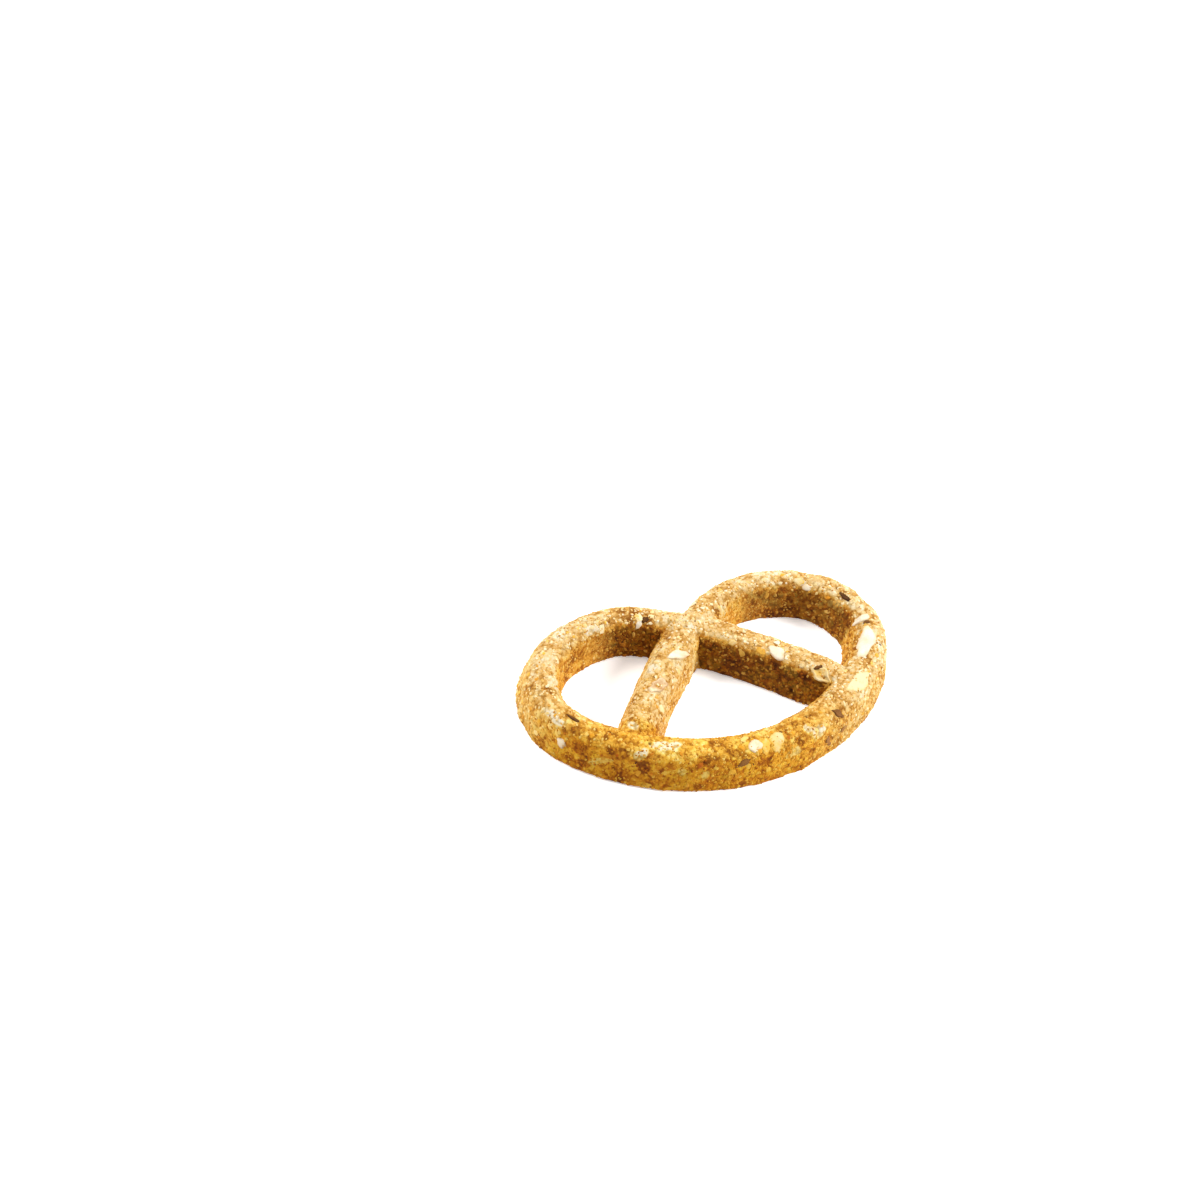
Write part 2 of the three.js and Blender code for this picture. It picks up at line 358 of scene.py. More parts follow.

# %% [markdown]
# ## Crumb as geometry
#
# Coarse dough bakes into lumps: broad swells of the strand, bumps as large as its biggest grains, and a
# cobble of small rounded grains with cracks between them, which the finish darkens as painted shade. Two
# kinds of repeatable noise make these.
# Lattice noise blends a random value at each point of a lattice. Grain noise puts one random centre in
# each lattice cell, and lets the height fall with the distance to the nearest centre.

# %% Two kinds of noise
CELL_FACTORS = (73856093, 19349663, 83492791)  # large odd numbers mix the bits of indices
SEED_FACTOR = 2654435761
MIXING = ((16, 2246822519), (13, 3266489917))  # shifts, and the factor after each
LAST_SHIFT = 16
NUMBERS = 2**32  # as many as 32 bits can tell apart


def draws(cells, seed):
    """A repeatable number from 0 to 1 for each whole-number cell, by mixing the bits of its indices."""
    indices = cells.astype(np.int64).astype(np.uint32)
    value = np.uint32(seed * SEED_FACTOR % NUMBERS)
    for axis, factor in enumerate(CELL_FACTORS):
        value = value ^ indices[..., axis] * np.uint32(factor)
    for shift, factor in MIXING:
        value = (value ^ (value >> np.uint32(shift))) * np.uint32(factor)
    return (value ^ (value >> np.uint32(LAST_SHIFT))) / NUMBERS


def lattice_noise(points, size, seed):
    """From -1 to 1: the draws at the eight corners of a point's cell, each weighted by how near it is."""
    scaled = points / size
    base = np.floor(scaled)
    part = smoothstep(scaled - base, 0, 1)
    total = 0
    for corner in np.ndindex(2, 2, 2):
        weight = np.prod(np.where(corner, part, 1 - part), axis=-1)
        total = total + weight * draws(base + corner, seed)
    return 2 * total - 1


def grain_noise(points, size, seed):
    """The height of a cobble, 1 at a grain's centre and 0 a cell away, and one draw for each grain."""
    scaled = points / size
    base = np.floor(scaled)
    nearest = np.full(len(points), np.inf)
    own = np.zeros(len(points))
    for step in np.ndindex(3, 3, 3):
        cell = base + step - 1
        centre = cell + np.stack([draws(cell, seed + k) for k in (1, 2, 3)], axis=-1)
        gap = np.linalg.norm(scaled - centre, axis=-1)
        closer = gap < nearest
        nearest = np.where(closer, gap, nearest)
        own = np.where(closer, draws(cell, seed), own)
    return 1 - np.minimum(nearest, 1), own


sample = np.random.default_rng(1).uniform(-9, 9, (4000, 3))
print("lattice noise spans", np.ptp(lattice_noise(sample, 2, 5)).round(2))

# %% Relief of the crust
# height, size and seed of each layer, in millimetres
SWELL = (0.14, 9, 21)
BUMPS = (0.13, 2.4, 22)
LUMPS = (0.12, 1.2, 23)
COBBLE = (0.13, 0.50, 24)

PITS, PIT_SEED = 7, 31
PIT_RADIUS = (0.25, 0.5)
PIT_DEPTH = 0.35  # of the widest pit; a narrower one is less deep in proportion
PITS_ABOVE = -0.2  # how far up a normal points at least where a pit may lie
DOWNWARD = (0.3, 0.9)  # how far down it points where the relief starts fading and has faded
FADED = 0.85  # the share of the relief that is lost on the base


def layer(points, height, size, seed):
    """Lattice noise from -height to height."""
    return height * lattice_noise(points, size, seed)


def broad_relief(points):
    """The swells and bumps, which the flakes follow as well."""
    return layer(points, *SWELL) + layer(points, *BUMPS)


def pit_relief(points, normals):
    """Each pit is a bell-shaped hollow round one of the skin's own points, none of them on the base."""
    rng = np.random.default_rng(PIT_SEED)
    above = np.flatnonzero(normals[:, 2] > PITS_ABOVE)
    places = points[rng.choice(above, PITS)]
    depth = np.zeros(len(points))
    for place, radius in zip(places, rng.uniform(*PIT_RADIUS, PITS)):
        square = ((points - place) ** 2).sum(axis=1)
        depth = np.maximum(depth, np.exp(-square / radius**2) * PIT_DEPTH * radius / PIT_RADIUS[1])
    return depth


def crust_relief(points, normals):
    """All layers together, and for the colours the cobble's height, the draws of each grain and of each
    lump, and the pits."""
    lumps, of_lump = grain_noise(points, *LUMPS[1:])
    cobble, of_grain = grain_noise(points, *COBBLE[1:])
    pits = pit_relief(points, normals)
    rise = broad_relief(points) + LUMPS[0] * (lumps - 0.5) + COBBLE[0] * (cobble - 0.5) - pits
    underneath = smoothstep(-normals[:, 2], *DOWNWARD)
    return rise * (1 - FADED * underneath), cobble, of_grain, of_lump, pits


def read_points(mesh):
    """Places in millimetres and outward directions of a mesh's points."""
    places = np.empty(len(mesh.vertices) * 3, np.float32)
    mesh.vertices.foreach_get("co", places)
    normals = np.empty(len(mesh.vertices) * 3, np.float32)
    mesh.vertex_normals.foreach_get("vector", normals)
    return places.reshape(-1, 3).astype(float) / MM, normals.reshape(-1, 3).astype(float)


def write_points(mesh, places):
    """Places in millimetres, back into the mesh."""
    mesh.vertices.foreach_set("co", (places * MM).astype(np.float32).ravel())
    mesh.update()


def write_values(mesh, name, values):
    """One number for each point, which a material can read."""
    mesh.attributes.new(name, "FLOAT", "POINT").data.foreach_set("value", values.astype(np.float32))


smooth_places, smooth_normals = read_points(skin)
rise, height_in_cobble, grain_draw, lump_draw, pit_depth = crust_relief(smooth_places, smooth_normals)
rough_places = smooth_places + smooth_normals * rise[:, None]
rough_places[:, 2] = np.maximum(rough_places[:, 2], 0)
write_points(skin, rough_places)
print("relief from", rise.min().round(2), "to", rise.max().round(2), "mm")

# %% [markdown]
# ## Where the crust is browner, and where shade and light are painted
#
# The bow is the deepest gold at its front left. From there the crust pales to cream towards the back and
# the right, and the arms are pale. Walls are browner than tops. The walls inside the holes that face the
# front left, away from the lamps, carry painted shade and are deep brown; the others inside, which face the
# lamps, carry painted light and are golden, and the outside is paler on the right. A finish could be
# painted by hand, but it is easier to say in numbers where each colour belongs.
# Eight numbers are kept at each point of the skin, and the crumb's finish reads them:
#
# - wall: 0 on a level top and 1 on an upright wall, less where the walls are paler or painted lit
# - inner: painted shade, the deep brown on the walls inside the holes that face the front left
# - pale: 0 in the gold and 1 in the cream
# - low: the darker foot, with an uneven edge; partly browner baking, partly painted shade by the table
# - grain, lump, cobble and pit: from the relief, so that the colours follow the crumb; cobble and pit also
#   place the painted shade in the cracks and the pits

# %% Inside the ring, and how far from it
RING_STRIDE = 8  # every eighth point of the middle line is near enough


def inside_ring(points):
    """Even-odd rule: a point is inside if a line to its right crosses the ring's middle line an odd number
    of times."""
    ring = LINE[: RING_POINTS + 1]
    ring = np.vstack([ring, (ring * (-1, 1))[::-1][1:-1]])
    start, end = ring, np.roll(ring, -1, axis=0)
    inside = np.zeros(len(points), bool)
    for (x0, y0), (x1, y1) in zip(start, end):
        if y0 == y1:
            continue
        spans = (y0 > points[:, 1]) != (y1 > points[:, 1])
        inside ^= spans & (points[:, 0] < x0 + (points[:, 1] - y0) / (y1 - y0) * (x1 - x0))
    return inside


def from_ring(points):
    """The distance to the nearest point of the ring's middle line; one half serves for both sides."""
    folded = np.stack([np.abs(points[:, 0]), points[:, 1]], axis=1)
    gaps = folded[:, None] - LINE[None, : RING_POINTS + 1 : RING_STRIDE]
    return np.sqrt((gaps**2).sum(axis=2).min(axis=1))


in_ring = inside_ring(smooth_places[:, :2])
ring_gap = from_ring(smooth_places[:, :2])
print("share of points inside the ring", in_ring.mean().round(2))
print("the furthest point from its middle line", ring_gap.max().round(1), "mm")

# %% Which walls are brown, which get painted shade or painted light, and which are paler
# lean is 0 on a level top and 1 on an upright wall; each pair says where a change starts and is complete
WALL_LEAN, PAINTED_SHADE_LEAN, GOLDEN_LEAN = (0.04, 0.90), (0.05, 0.68), (0.15, 0.60)
PAINTED_SHADE_SIDE = np.array((-0.70, -0.71))  # the side, front left and away from the lamps, that the walls with painted shade inside the holes face
PAINTED_SHADE_FACING = (0.56, 0.76)  # how squarely they face it
LEVEL_LEAST = 0.05  # keeps the division in range on level tops
LOBE_X, LOBE_Y = (8, 13), (2, 6)  # where the right lobe begins
LOBE_LATER, LOBE_LESS = 0.08, 0.2  # its painted shade sets in later, and is lighter
ARM_GAP = (2.9, 4.5)  # how far from the ring's middle line a place counts as arm
RIGHT_X = (-4, 9)  # where the outside gets paler, from left to right
ARM_LESS, GOLDEN_LESS, RIGHT_LESS = 0.5, 0.3, 0.4  # how much less wall there is for the colours

lean = 1 - smooth_normals[:, 2]
level_part = np.linalg.norm(smooth_normals[:, :2], axis=1)
# painted shade: the walls inside the ring that face the front left, away from the lamps, are painted dark
# as if in shade, the right lobe a little less
facing = smooth_normals[:, :2] @ PAINTED_SHADE_SIDE / np.maximum(level_part, LEVEL_LEAST)
in_lobe = smoothstep(smooth_places[:, 0], *LOBE_X) * smoothstep(smooth_places[:, 1], *LOBE_Y)
painted_shade_inside = in_ring * smoothstep(facing - LOBE_LATER * in_lobe, *PAINTED_SHADE_FACING) * (1 - LOBE_LESS * in_lobe)
on_arm = smoothstep(ring_gap, *ARM_GAP)
# painted light: the other walls inside the ring, which face the lamps, are painted lighter and more golden
painted_light_inside = in_ring * (1 - painted_shade_inside) * (1 - on_arm) * smoothstep(lean, *GOLDEN_LEAN)
outside_right = (1 - in_ring) * smoothstep(smooth_places[:, 0], *RIGHT_X)
# the walls' darkening sets in sooner where shade is painted, and is less on the walls painted lit
wall = smoothstep(lean, *WALL_LEAN) * (1 - painted_shade_inside) + smoothstep(lean, *PAINTED_SHADE_LEAN) * painted_shade_inside
wall = wall * (1 - ARM_LESS * on_arm * (1 - painted_shade_inside)) * (1 - GOLDEN_LESS * painted_light_inside)
wall = wall * (1 - RIGHT_LESS * outside_right)
print("mean of wall", wall.mean().round(2), "and of inner", painted_shade_inside.mean().round(2))

# %% From gold to cream, the foot, and all values together
GOLDEN_PLACE = np.array((-16, -18))  # in front of the part of the bow that is deepest in colour
GOLDEN_STRETCH = np.array((0.85, 1.15))  # the gold reaches further along the bow than back from it
GOLD_TO_CREAM = (15, 29)  # how far from that place one turns to the other
GOLDEN_EDGE = (3, 6, 41)  # height, size and seed of the noise that makes this uneven
ARM_PALENESS = 0.85
GOLDEN_DEEPER, SHOULDER_DEEPER = 0.6, 0.5  # how much less pale the walls painted lit and golden, and the shoulders with painted shade, are
SHOULDER_LEAN = (0.05, 0.35)
FOOT_EDGE = (0.9, 1.8, 43)  # height, size and seed, as above
FOOT_HEIGHT = (0.6, 2.6)  # the foot's darkening, partly browning and partly painted shade, ends between these heights
PIT_SEEN = (0.12, 0.30)  # a pit is painted dark as shade between these depths

from_golden = np.linalg.norm((smooth_places[:, :2] - GOLDEN_PLACE) * GOLDEN_STRETCH, axis=1)
pale = smoothstep(from_golden + layer(smooth_places, *GOLDEN_EDGE), *GOLD_TO_CREAM)
# painted light keeps the lit inside walls golden, and painted shade keeps the shaded shoulders from cream
pale = np.maximum(pale, ARM_PALENESS * on_arm) * (1 - GOLDEN_DEEPER * painted_light_inside)
pale = pale * (1 - SHOULDER_DEEPER * painted_shade_inside * smoothstep(lean, *SHOULDER_LEAN))
# the foot, darker towards the table: partly browner baking, partly painted shade
uneven_height = smooth_places[:, 2] + layer(smooth_places, *FOOT_EDGE)
skin_values = {
    "grain": grain_draw,
    "lump": lump_draw,
    "cobble": height_in_cobble,
    "pit": smoothstep(pit_depth, *PIT_SEEN),
    "wall": wall,
    "inner": painted_shade_inside,
    "pale": pale,
    "low": 1 - smoothstep(uneven_height, *FOOT_HEIGHT),
}
print("means", {value_name: float(values.mean().round(2)) for value_name, values in skin_values.items()})

# %% [markdown]
# ## Pale and amber patches
#
# The dough isn't mixed evenly. Where oat has gathered the crust stays pale, and where maize has gathered
# it bakes amber. These patches are larger than a grain, and the eye knows the biscuit by them. Each one is
# an ellipse that is placed on the strand by u and v, so it follows the crust and can be moved by a number.

# %% Where the patches lie
# strand, u, v, length, width, turn in degrees
PALE_PATCHES = [
    (1, 0.413, 0.70, 2.2, 1.3, -5),
    (1, 0.204, 0.30, 3.0, 1.5, -8),  # outside the broad flake where the right arm ends
    (1, 0.085, 0.34, 2.4, 1.7, 0),
    (1, 0.071, 0.42, 1.4, 1.1, -83),
    (1, 0.037, 0.25, 2.4, 1.5, 17),
    (1, 0.663, 0.72, 2.8, 2.0, 114),
    (1, 0.850, 0.39, 1.9, 1.4, -7),
    (1, 0.975, 0.44, 1.8, 1.1, 78),
    (1, 0.298, 0.38, 2.4, 1.8, 20),
    (1, 0.492, 0.60, 1.6, 1.0, 7),
    (-1, 0.905, 0.71, 1.9, 1.3, -10),
    (-1, 0.395, 0.61, 2.3, 1.9, 7),
    (-1, 0.553, 0.62, 2.4, 1.3, -4),
    (-1, 0.250, 0.18, 3.2, 0.9, 26),
    (-1, 0.333, 0.38, 3.4, 1.3, -5),
    (-1, 0.197, 0.35, 2.2, 1.3, 45),
    (-1, 0.162, 0.47, 4.1, 1.4, 13),
    (-1, 0.134, 0.22, 1.1, 1.3, 0),
    (-1, 0.100, 0.20, 1.0, 1.3, 0),
]
AMBER_PATCHES = [
    (-1, 0.228, 0.32, 2.9, 1.9, 14),  # along the bow's shoulder, left of its middle
    (-1, 0.272, 0.10, 2.3, 1.1, 9),
    (-1, 0.304, 0.37, 1.9, 1.3, 39),
    (-1, 0.283, 0.25, 2.4, 2.1, 6),
    (-1, 0.191, 0.23, 2.2, 2.0, 13),
    (-1, 0.211, 0.63, 1.8, 1.1, 27),
    (-1, 0.174, 0.36, 2.2, 0.9, 7),
    (-1, 0.105, 0.35, 1.7, 1.3, 0),
    (-1, 0.059, 0.40, 1.9, 1.1, 0),
    (-1, 0.015, 0.27, 2.6, 1.2, 0),
    (1, 0.034, 0.44, 2.5, 0.8, 77),
    (1, 0.053, 0.29, 3.0, 1.2, -54),
    (1, 0.061, 0.54, 2.1, 1.0, -3),
    (-1, 0.594, 0.60, 1.9, 0.9, -71),
    (1, 0.523, 0.68, 1.7, 0.9, -16),
    (-1, 0.926, 0.69, 1.6, 1.4, -13),  # beside the curled flake on the right arm
]
print(len(PALE_PATCHES), "pale and", len(AMBER_PATCHES), "amber patches")

# %% How strong a patch is at each point
PATCH_EDGE = (0.35, 0.8)  # height and size of the noise that makes the edges uneven
PATCH_FADE = (0.75, 1.15)  # the edge's start and end, as shares of the ellipse
PATCH_DEPTH = 1.5  # how far a patch reaches from its own surface, in millimetres


def patch_strength(points, patches, seed):
    """Each patch is an ellipse on the strand: 1 inside it and 0 outside, its edge made uneven by noise."""
    strength = np.zeros(len(points))
    uneven = layer(points, *PATCH_EDGE, seed)
    for mirror, u, v, length, width, turn in patches:
        along, across, outward = strand_frame(u, v, mirror)
        angle = math.radians(turn)
        lengthwise = along * math.cos(angle) + across * math.sin(angle)
        crosswise = across * math.cos(angle) - along * math.sin(angle)
        gap = points - strand_place(u, v, mirror)
        reach = np.hypot(gap @ lengthwise / (length / 2), gap @ crosswise / (width / 2))
        reach = np.hypot(reach, gap @ outward / PATCH_DEPTH)
        strength = np.maximum(strength, 1 - smoothstep(reach + uneven, *PATCH_FADE))
    return strength


skin_values["patch"] = patch_strength(smooth_places, PALE_PATCHES, 42)
skin_values["amber"] = patch_strength(smooth_places, AMBER_PATCHES, 44)
for value_name, values in skin_values.items():
    write_values(skin, value_name, values)
biscuit = bpy.data.objects.new("crumb", skin)
bpy.context.scene.collection.objects.link(biscuit)
skin.polygons.foreach_set("use_smooth", np.ones(len(skin.polygons), bool))
for value_name in ("patch", "amber"):
    print("mean of", value_name, skin_values[value_name].mean().round(3))

# %% [markdown]
# ## Flakes that catch the eye
#
# Rolled oats, flakes of maize and slivers of bran lie in the crust, flat, thin and with uneven edges. Two
# flakes have curled in the oven and are hollow in the middle. A flat disc would stand off the round
# strand. So each one is a squashed ball given by two angles, and its places are laid on the strand's own
# surface function, which bends it with the strand.

# %% Flakes laid on the strand
FLAKE_ROWS, FLAKE_COLUMNS = 11, 30
SECTION_LENGTH = 14  # the way round a section, foot to foot, in millimetres

# strand, u, v, length, width, turn in degrees, height, dish, and tone, which is its place in its palette
OAT_FLAKES = [
    (1, 0.298, 0.56, 5.6, 2.6, 168, 0.22, 0.1, 0.70),  # the long one on the right side
    (1, 0.351, 0.595, 3.3, 1.5, 102, 0.20, 0.0, 0.66),  # the bar behind it
    (-1, 0.873, 0.59, 2.4, 1.6, 165, 0.18, 0.1, 0.62),  # on the right arm
    (1, 0.805, 0.59, 3.5, 1.2, 137, 0.12, 0.0, 0.58),  # across the left arm
    (1, 0.883, 0.53, 3.4, 2.1, 129, 0.20, 0.9, 0.40),  # the curled one, lower on that arm
    (-1, 0.308, 0.21, 1.4, 1.1, 110, 0.10, 0.0, 0.48),
    (1, 0.481, 0.64, 1.5, 0.8, 3, 0.14, 0.0, 0.55),
    (-1, 0.022, 0.44, 1.9, 1.6, 40, 0.08, 0.2, 0.50),  # on the bow
    (-1, 0.642, 0.65, 1.2, 0.9, 60, 0.16, 0.0, 0.80),  # on the left lobe
]
BRAN_SLIVERS = [
    (-1, 0.309, 0.49, 2.0, 0.9, 3, 0.14, 0, 0.3),
    (-1, 0.653, 0.60, 0.95, 0.85, 7, 0.12, 0, 0.1),
    (-1, 0.044, 0.29, 1.9, 0.8, 28, 0.08, 0, 0.7),
    (1, 0.408, 0.57, 2.0, 0.7, 2, 0.14, 0, 0.2),
    (1, 0.133, 0.37, 2.0, 0.8, -54, 0.12, 0, 0.5),
    (1, 0.140, 0.18, 1.3, 0.8, 0, 0.08, 0, 0.8),
    (1, 0.106, 0.16, 1.9, 0.7, -72, 0.08, 0, 0.8),
    (1, 0.340, 0.565, 1.0, 0.6, -77, 0.12, 0, 0.4),
    (-1, 0.943, 0.58, 1.2, 0.5, 35, 0.24, 0, 0.3),
]
MAIZE_FLAKES = [
    (1, 0.204, 0.45, 4.0, 2.3, -14, 0.07, 0, 1.1),  # the broad one where the right arm ends
    (1, 0.015, 0.43, 3.2, 1.7, 74, 0.07, 0, 0.8),  # on the bow, right of its middle
    (-1, 0.006, 0.41, 2.3, 1.1, 75, 0.06, 0, 0.6),  # beside the oat flake on the bow
    (1, 0.496, 0.59, 1.5, 1.0, 7, 0.12, 0, 0.9),
    (-1, 0.800, 0.63, 1.1, 0.8, 19, 0.12, 0, 0.9),
    (-1, 0.848, 0.62, 1.4, 0.9, -7, 0.08, 0, 0.4),
    (-1, 0.952, 0.63, 2.7, 1.7, -13, 0.20, 0.9, 0.95),  # the curled one near the right arm's end
]
DISH_DEPTH = 0.3  # in millimetres, for a dish of 1
DISH_END = (0.35, 0.85)  # shares of the way to the rim between which the dish ends
RIM_START = (0.6, 1.0)  # and between which the rim begins
BLUNTNESS = 0.45  # the lower this power of the cosine, the blunter the rim
EDGE_NOISE = (0.30, 0.55)  # height and size of the unevenness of the outline
RIPPLE_NOISE = (0.06, 0.9)  # and of the two faces
RIPPLE_SEED = 50  # added to the flake's seed
# the dish's darkening is painted shade in its hollow; a ripple is painted light on its crest, shade in its
# dip
DISH_SHADE_TONE, RIM_TONE, RIPPLE_LIGHT_AND_SHADE_TONE = 0.6, 0.25, 3  # how much darker dish and rim are, and lighter a ripple
# the values of a flake: no browning, no painted shade, and cream
UNTOASTED_UNSHADED = {"wall": 0, "inner": 0, "pale": 1, "amber": 0}


def flake(mirror, u, v, length, width, turn, height, dish, tone, seed):
    """A squashed ball: the around and up angles give an ellipse with a blunt rim, its edge made uneven by
    noise. The ellipse is turned, then laid along u and v, and lifted along the outward direction, less in
    its middle where it is dished. Its tone is darker there too, as painted shade, and its ripples are
    painted lighter on their crests and darker in their dips."""
    up, around = np.meshgrid(
        np.linspace(-math.pi / 2, math.pi / 2, FLAKE_ROWS),
        np.linspace(0, 2 * math.pi, FLAKE_COLUMNS, endpoint=False),
        indexing="ij",
    )
    circle = np.stack([np.cos(around), np.sin(around), 0 * around], axis=-1)
    edge = 1 + layer(circle.reshape(-1, 3), *EDGE_NOISE, seed).reshape(around.shape)
    to_rim = np.cos(up) ** BLUNTNESS
    lengthwise = length / 2 * to_rim * edge * np.cos(around)
    crosswise = width / 2 * to_rim * edge * np.sin(around)
    angle = math.radians(turn)
    along = lengthwise * math.cos(angle) - crosswise * math.sin(angle)
    across = lengthwise * math.sin(angle) + crosswise * math.cos(angle)
    own_u = u + along / LENGTH
    own_v = v + mirror * across / SECTION_LENGTH
    places = strand_place(own_u, own_v, mirror)
    outward = strand_frame(own_u, own_v, mirror)[2]
    ripple = layer(places.reshape(-1, 3), *RIPPLE_NOISE, seed + RIPPLE_SEED).reshape(around.shape)
    hollow = dish * (1 - smoothstep(to_rim, *DISH_END))
    rim = smoothstep(to_rim, *RIM_START)
    lift = broad_relief(places.reshape(-1, 3)).reshape(around.shape) + height * np.sin(up) + ripple
    places = places + outward * (lift - DISH_DEPTH * hollow)[..., None]
    # painted shade in the dish, and painted light and shade on the ripples
    tones = tone - DISH_SHADE_TONE * hollow - RIM_TONE * rim + RIPPLE_LIGHT_AND_SHADE_TONE * ripple
    return places.reshape(-1, 3), tones.ravel()


def join_flakes(name, flakes, seed):
    """All flakes of one kind as one mesh, with the values that its material reads. Each flake closes at its
    two poles."""
    faces = grid_faces(FLAKE_ROWS, FLAKE_COLUMNS)
    shapes = [flake(*row, seed + n) for n, row in enumerate(flakes)]
    count = FLAKE_ROWS * FLAKE_COLUMNS
    all_faces = np.vstack([faces + n * count for n in range(len(flakes))])
    piece = add_object(name, np.vstack([places for places, _ in shapes]), all_faces.tolist())
    write_values(piece.data, "grain", np.concatenate([tones for _, tones in shapes]))
    for value_name, value in UNTOASTED_UNSHADED.items():
        write_values(piece.data, value_name, np.full(len(piece.data.vertices), value))
    print(name, len(flakes), "flakes,", len(all_faces), "faces")
    return piece


oats = join_flakes("oat_flakes", OAT_FLAKES, 60)
slivers = join_flakes("bran_slivers", BRAN_SLIVERS, 80)
maize = join_flakes("maize_flakes", MAIZE_FLAKES, 95)

# %% [markdown]
# ## Grains of meal, maize and bran
#
# The dough is full of coarse meal: cream bits of oat, amber bits of maize, and dark slivers of bran, from a
# fifth of a millimetre to one and a half. They can't be painted on, because they catch the light
# and break the outline. Thousands of them are placed at once: a random triangle of the skin for each, by
# its area, a random place in it, and a twenty-sided lump with uneven corners, sunk into the crust so that
# only its top stands out.

# %% A lump with twenty sides
GOLDEN_RATIO = (1 + 5**0.5) / 2
EDGE_BETWEEN = (0.1, 1.2)  # two corners share an edge if their gap lies between these


def twenty_sided():
    """The regular solid of twenty triangles: its corners are (0, 1, g) and its turns and mirrors."""
    corners = []
    for a in (-1, 1):
        for b in (-GOLDEN_RATIO, GOLDEN_RATIO):
            corners += [(0, a, b), (a, b, 0), (b, 0, a)]
    corners = np.array(corners) / math.hypot(1, GOLDEN_RATIO)
    gaps = np.linalg.norm(corners[:, None] - corners[None], axis=-1)
    near = (gaps > EDGE_BETWEEN[0]) & (gaps < EDGE_BETWEEN[1])
    faces = []
    for i, j, k in itertools.combinations(range(len(corners)), 3):
        if near[i, j] and near[j, k] and near[i, k]:
            normal = np.cross(corners[j] - corners[i], corners[k] - corners[i])
            faces.append((i, j, k) if np.dot(normal, corners[i]) > 0 else (i, k, j))
    return corners, np.array(faces)


LUMP_CORNERS, LUMP_FACES = twenty_sided()
print("a lump has", len(LUMP_CORNERS), "corners and", len(LUMP_FACES), "faces")

# %% Scattered grains
UNEVEN_CORNERS = (0.8, 1.15)  # each corner of a lump moves in or out to a share between these
ON_CRUST = -0.5  # how far up a normal points at least where a grain may lie


def triangles_of(mesh):
    """The corner numbers of a mesh's triangles."""
    mesh.calc_loop_triangles()
    corners = np.empty(len(mesh.loop_triangles) * 3, np.int32)
    mesh.loop_triangles.foreach_get("vertices", corners)
    return corners.reshape(-1, 3)


skin_triangles = triangles_of(skin)


def scatter(name, count, length, slimness, thickness, sunk, seed):
    """Lumps on the skin. Each has its length drawn between two bounds, its width and thickness as shares
    of it, a random turn about the outward direction, and its middle sunk by a share of its thickness."""
    rng = np.random.default_rng(seed)
    a, b, c = (rough_places[skin_triangles[:, k]] for k in range(3))
    areas = np.linalg.norm(np.cross(b - a, c - a), axis=1)
    areas = areas * (smooth_normals[skin_triangles[:, 0], 2] > ON_CRUST)
    chosen = rng.choice(len(areas), count, p=areas / areas.sum())
    # a place in the other half of the parallelogram is turned back into the triangle
    p, q = rng.random((2, count, 1))
    p, q = np.where(p + q > 1, 1 - p, p), np.where(p + q > 1, 1 - q, q)
    places = a[chosen] * (1 - p - q) + b[chosen] * p + c[chosen] * q
    first = skin_triangles[chosen, 0]
    outward = smooth_normals[first]
    sideways = unit(np.cross(outward, rng.normal(size=(count, 3))))
    frames = np.stack([sideways, np.cross(outward, sideways), outward], axis=1)
    lengths = rng.uniform(*length, count)
    widths = lengths * rng.uniform(*slimness, count)
    heights = lengths * rng.uniform(*thickness, count)
    sizes = np.stack([lengths, widths, heights], axis=1)[:, None] / 2
    corners = len(LUMP_CORNERS)
    lumps = LUMP_CORNERS * rng.uniform(*UNEVEN_CORNERS, (count, corners, 1)) * sizes
    sinking = (outward * heights[:, None] * sunk)[:, None]
    points = places[:, None] + np.einsum("nkc,ncx->nkx", lumps, frames) - sinking
    points[..., 2] = np.maximum(points[..., 2], 0)
    faces = (LUMP_FACES + corners * np.arange(count)[:, None, None]).reshape(-1, 3)
    piece = add_object(name, points.reshape(-1, 3), faces.tolist())
    write_values(piece.data, "grain", np.repeat(rng.random(count), corners))
    # each grain takes the browning, painted shade, painted light and paleness of the skin where it lies
    for value_name in UNTOASTED_UNSHADED:
        write_values(piece.data, value_name, np.repeat(skin_values[value_name][first], corners))
    print(name, count, "lumps,", len(faces), "faces")
    return piece

# name, how many, bounds of the length in millimetres, of the width and of the thickness as shares of the
# length, the share of the thickness by which the middle is sunk, and seed
cream_meal = scatter("cream_meal", 2400, (0.30, 0.70), (0.6, 1.0), (0.4, 0.7), 0.25, 71)
fine_meal = scatter("fine_meal", 7200, (0.22, 0.46), (0.6, 1.0), (0.5, 0.9), 0.15, 72)
maize_grits = scatter("maize_grits", 300, (0.45, 1.1), (0.6, 1.0), (0.4, 0.7), 0.25, 73)
bran_bits = scatter("bran_bits", 130, (0.25, 0.6), (0.3, 0.6), (0.15, 0.3), 0.0, 74)
oat_bits = scatter("oat_bits", 110, (0.7, 1.5), (0.5, 0.85), (0.12, 0.25), 0.2, 75)

# %% [markdown]
# ## Writing a material as sums
#
# Every finish below is a sum of a few patterns. Node by node such sums are long to write, so one small
# class wraps a socket and lets it stand in a Python expression: each sign adds its Math node. One method
# adds any other node. Colours are given as the numbers that a picture shows and turned to linear light.

# %% Colours and palettes
LAMP_GAIN = 1.25  # how much brighter than full white the lamps make a white top
LINEAR_PART = 0.04045  # below this the sRGB curve is a straight line


def colour(red, green, blue):
    """Picture numbers from 0 to 255 as linear light, by the sRGB curve, less what the lamps add."""
    shares = [value / 255 for value in (red, green, blue)]
    linear = [s / 12.92 if s <= LINEAR_PART else ((s + 0.055) / 1.055) ** 2.4 for s in shares]
    return tuple(value / LAMP_GAIN for value in linear) + (1,)


